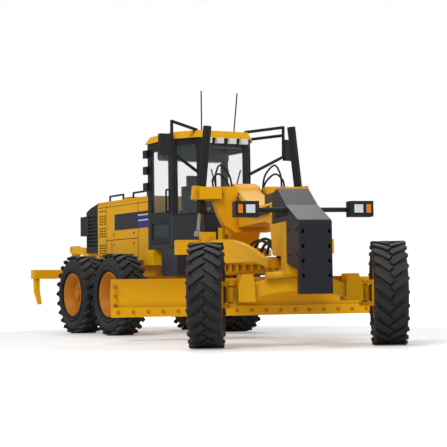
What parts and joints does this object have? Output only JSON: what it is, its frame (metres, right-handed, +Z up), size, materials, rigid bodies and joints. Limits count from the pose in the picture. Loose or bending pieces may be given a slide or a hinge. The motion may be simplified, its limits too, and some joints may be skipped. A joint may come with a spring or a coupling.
{
  "type": "scale model motor grader",
  "caption": "Articulated scale model of a road grader: arched front frame with a turning blade under it, tandem rear wheels, a glazed cab and a rear ripper.",
  "frame": {"origin": "on the ground under the middle of the model's bounding box", "axes": "-Y forward along the front frame, +X to the machine's left, +Z up; the rear frame is turned 18.5 degrees about the articulation pivot, as displayed"},
  "size_m": [0.1008, 0.2124, 0.0794],
  "materials": {
    "black_metal": "satin black paint",
    "black_plastic": "matt black plastic",
    "bright_rod": "polished plated rod",
    "dark_grey": "satin dark grey paint",
    "glass": "clear glazing",
    "lens": "clear and amber printed lens",
    "rim_paint": "satin orange-yellow paint",
    "tyre": "matt moulded rubber",
    "yellow_paint": "satin yellow paint over die-cast metal"
  },
  "bodies": {
    "rear_frame": {"rear_chassis": "yellow_paint", "tandem_cases": "yellow_paint", "hood": "yellow_paint", "hood_cover": "yellow_paint", "rear_grille": "black_plastic", "hood_rails": "black_metal", "cab_base": "dark_grey", "cab_frame": "black_plastic", "cab_doors": "black_plastic", "cab_glass": "glass", "cab_roof": "yellow_paint", "roof_lamps": "lens", "seat": "black_plastic", "console": "black_plastic", "mirror_arms": "black_plastic", "side_steps": "dark_grey", "tool_boxes": "yellow_paint", "antennas": "black_plastic"},
    "front_frame": {"front_frame": "yellow_paint", "nose_cover": "dark_grey", "headlamps": "black_plastic", "headlamp_lenses": "lens", "valve_block": "dark_grey", "lift_saddle": "yellow_paint", "front_axle": "yellow_paint"},
    "lean_bar": {"lean_bar": "yellow_paint"},
    "drawbar_ball": {"drawbar_ball": "yellow_paint"},
    "drawbar": {"drawbar": "yellow_paint"},
    "circle": {"circle": "yellow_paint"},
    "blade_carrier": {"blade_carrier": "yellow_paint"},
    "moldboard": {"moldboard": "yellow_paint"},
    "ripper_link_lower": {"ripper_link_lower": "yellow_paint"},
    "ripper_link_upper": {"ripper_link_upper": "yellow_paint"},
    "ripper_beam": {"ripper_beam": "yellow_paint"},
    "wheel_front_left": {"tyre_front_left": "tyre", "rim_front_left": "rim_paint"},
    "wheel_middle_left": {"tyre_middle_left": "tyre", "rim_middle_left": "rim_paint"},
    "wheel_rear_left": {"tyre_rear_left": "tyre", "rim_rear_left": "rim_paint"},
    "lean_yoke_left": {"lean_yoke_left": "yellow_paint"},
    "steer_knuckle_left": {"steer_knuckle_left": "black_metal"},
    "lift_cylinder_left": {"lift_yoke_left": "yellow_paint", "lift_barrel_left": "black_metal"},
    "lift_rod_left": {"lift_rod_left": "bright_rod"},
    "articulation_barrel_left": {"articulation_barrel_left": "black_metal"},
    "articulation_rod_left": {"articulation_rod_left": "bright_rod"},
    "wheel_front_right": {"tyre_front_right": "tyre", "rim_front_right": "rim_paint"},
    "wheel_middle_right": {"tyre_middle_right": "tyre", "rim_middle_right": "rim_paint"},
    "wheel_rear_right": {"tyre_rear_right": "tyre", "rim_rear_right": "rim_paint"},
    "lean_yoke_right": {"lean_yoke_right": "yellow_paint"},
    "steer_knuckle_right": {"steer_knuckle_right": "black_metal"},
    "lift_cylinder_right": {"lift_yoke_right": "yellow_paint", "lift_barrel_right": "black_metal"},
    "lift_rod_right": {"lift_rod_right": "bright_rod"},
    "articulation_barrel_right": {"articulation_barrel_right": "black_metal"},
    "articulation_rod_right": {"articulation_rod_right": "bright_rod"}
  },
  "joints": [
    {"name": "articulation", "type": "hinge", "parent": "rear_frame", "child": "front_frame", "pos_m": [0.00931, -0.01368, 0.026], "axis": [0, 0, 1], "range_deg": [-6.5, 43.5]},
    {"name": "articulation_barrel_left_swing", "type": "hinge", "parent": "rear_frame", "child": "articulation_barrel_left", "pos_m": [0.00862, 0.01044, 0.0259], "axis": [0, 0, 1], "range_deg": [-2.33, 9.89]},
    {"name": "articulation_rod_left_slide", "type": "slide", "parent": "articulation_barrel_left", "child": "articulation_rod_left", "axis": [0.2648, -0.9643, 0], "range_m": [-0.00573, 0.00111]},
    {"name": "articulation_barrel_right_swing", "type": "hinge", "parent": "rear_frame", "child": "articulation_barrel_right", "pos_m": [-0.00465, 0.006, 0.0259], "axis": [0, 0, 1], "range_deg": [-2.25, 9.38]},
    {"name": "articulation_rod_right_slide", "type": "slide", "parent": "articulation_barrel_right", "child": "articulation_rod_right", "axis": [0.2469, -0.969, 0], "range_m": [-0.00115, 0.006]},
    {"name": "lean_right", "type": "hinge", "parent": "front_frame", "child": "lean_yoke_right", "pos_m": [-0.00449, -0.08758, 0.0136], "axis": [0, 1, 0], "range_deg": [-20, 20]},
    {"name": "lean_left", "type": "hinge", "parent": "front_frame", "child": "lean_yoke_left", "pos_m": [0.02311, -0.08758, 0.0136], "axis": [0, 1, 0], "range_deg": [-20, 20]},
    {"name": "lean_bar_pivot", "type": "hinge", "parent": "lean_yoke_right", "child": "lean_bar", "pos_m": [-0.00449, -0.08758, 0.0174], "axis": [0, 1, 0], "range_deg": [-22, 22]},
    {"name": "steer_right", "type": "hinge", "parent": "lean_yoke_right", "child": "steer_knuckle_right", "pos_m": [-0.00849, -0.08758, 0.0136], "axis": [0, 0, 1], "range_deg": [-26.1, 53.9]},
    {"name": "roll_front_right", "type": "hinge", "parent": "steer_knuckle_right", "child": "wheel_front_right", "pos_m": [-0.01446, -0.08611, 0.0135], "axis": [0.9707, -0.2402, 0], "continuous": true},
    {"name": "roll_middle_right", "type": "hinge", "parent": "rear_frame", "child": "wheel_middle_right", "pos_m": [-0.02489, 0.01858, 0.0135], "axis": [0.9483, 0.3173, 0], "continuous": true},
    {"name": "roll_rear_right", "type": "hinge", "parent": "rear_frame", "child": "wheel_rear_right", "pos_m": [-0.03457, 0.04751, 0.0135], "axis": [0.9483, 0.3173, 0], "continuous": true},
    {"name": "steer_left", "type": "hinge", "parent": "lean_yoke_left", "child": "steer_knuckle_left", "pos_m": [0.02711, -0.08758, 0.0136], "axis": [0, 0, 1], "range_deg": [-26.1, 53.9]},
    {"name": "roll_front_left", "type": "hinge", "parent": "steer_knuckle_left", "child": "wheel_front_left", "pos_m": [0.03308, -0.08906, 0.0135], "axis": [0.9707, -0.2402, 0], "continuous": true},
    {"name": "roll_middle_left", "type": "hinge", "parent": "rear_frame", "child": "wheel_middle_left", "pos_m": [0.01722, 0.03267, 0.0135], "axis": [0.9483, 0.3173, 0], "continuous": true},
    {"name": "roll_rear_left", "type": "hinge", "parent": "rear_frame", "child": "wheel_rear_left", "pos_m": [0.00754, 0.06159, 0.0135], "axis": [0.9483, 0.3173, 0], "continuous": true},
    {"name": "drawbar_swing", "type": "hinge", "parent": "front_frame", "child": "drawbar_ball", "pos_m": [0.00931, -0.08558, 0.0213], "axis": [0, 0, 1], "range_deg": [-8, 8]},
    {"name": "drawbar_lift", "type": "hinge", "parent": "drawbar_ball", "child": "drawbar", "pos_m": [0.00931, -0.08558, 0.0213], "axis": [1, 0, 0], "range_deg": [-22, 2.5]},
    {"name": "circle_turn", "type": "hinge", "parent": "drawbar", "child": "circle", "pos_m": [0.00931, -0.03628, 0.0207], "axis": [0, 0, 1], "range_deg": [-180, 180]},
    {"name": "blade_pitch", "type": "hinge", "parent": "circle", "child": "blade_carrier", "pos_m": [0.00931, -0.02958, 0.0112], "axis": [1, 0, 0], "range_deg": [-5, 40]},
    {"name": "blade_shift", "type": "slide", "parent": "blade_carrier", "child": "moldboard", "axis": [1, 0, 0], "range_m": [-0.0154, 0.0174]},
    {"name": "lift_cylinder_left_lean", "type": "hinge", "parent": "front_frame", "child": "lift_cylinder_left", "pos_m": [0.02429, -0.03108, 0.0435], "axis": [0, 1, 0], "range_deg": [-32.26, 32.26]},
    {"name": "lift_rod_left_slide", "type": "slide", "parent": "lift_cylinder_left", "child": "lift_rod_left", "axis": [-0.1022, 0, 0.9948], "range_m": [-0.02092, 0.00247]},
    {"name": "lift_cylinder_right_lean", "type": "hinge", "parent": "front_frame", "child": "lift_cylinder_right", "pos_m": [-0.00566, -0.03108, 0.0435], "axis": [0, 1, 0], "range_deg": [-32.26, 32.26]},
    {"name": "lift_rod_right_slide", "type": "slide", "parent": "lift_cylinder_right", "child": "lift_rod_right", "axis": [0.1022, 0, 0.9948], "range_m": [-0.02092, 0.00247]},
    {"name": "ripper_lower", "type": "hinge", "parent": "rear_frame", "child": "ripper_link_lower", "pos_m": [-0.02261, 0.08172, 0.0195], "axis": [0.9483, 0.3173, 0], "range_deg": [-50, 10]},
    {"name": "ripper_upper", "type": "hinge", "parent": "rear_frame", "child": "ripper_link_upper", "pos_m": [-0.02261, 0.08172, 0.0295], "axis": [0.9483, 0.3173, 0], "range_deg": [-52, 12]},
    {"name": "ripper_beam_pivot", "type": "hinge", "parent": "ripper_link_lower", "child": "ripper_beam", "pos_m": [-0.02673, 0.09405, 0.0205], "axis": [0.9483, 0.3173, 0], "range_deg": [-12, 52]}
  ],
  "couplings": [
    {"joint": "articulation_barrel_left_swing", "follows": "articulation", "ratio": 0.20429},
    {"joint": "articulation_rod_left_slide", "follows": "articulation", "m_per_rad": -0.007156},
    {"joint": "articulation_barrel_right_swing", "follows": "articulation", "ratio": 0.1926},
    {"joint": "articulation_rod_right_slide", "follows": "articulation", "m_per_rad": 0.007505},
    {"joint": "lean_left", "follows": "lean_right", "ratio": 1},
    {"joint": "lean_bar_pivot", "follows": "lean_right", "ratio": -1},
    {"joint": "steer_left", "follows": "steer_right", "ratio": 1},
    {"joint": "lift_cylinder_left_lean", "follows": "drawbar_swing", "ratio": 3.9081},
    {"joint": "lift_rod_left_slide", "follows": "drawbar_lift", "m_per_rad": 0.054215},
    {"joint": "lift_cylinder_right_lean", "follows": "drawbar_swing", "ratio": 3.9081},
    {"joint": "lift_rod_right_slide", "follows": "drawbar_lift", "m_per_rad": 0.054215},
    {"joint": "ripper_upper", "follows": "ripper_lower", "ratio": 1},
    {"joint": "ripper_beam_pivot", "follows": "ripper_lower", "ratio": -1}
  ]
}
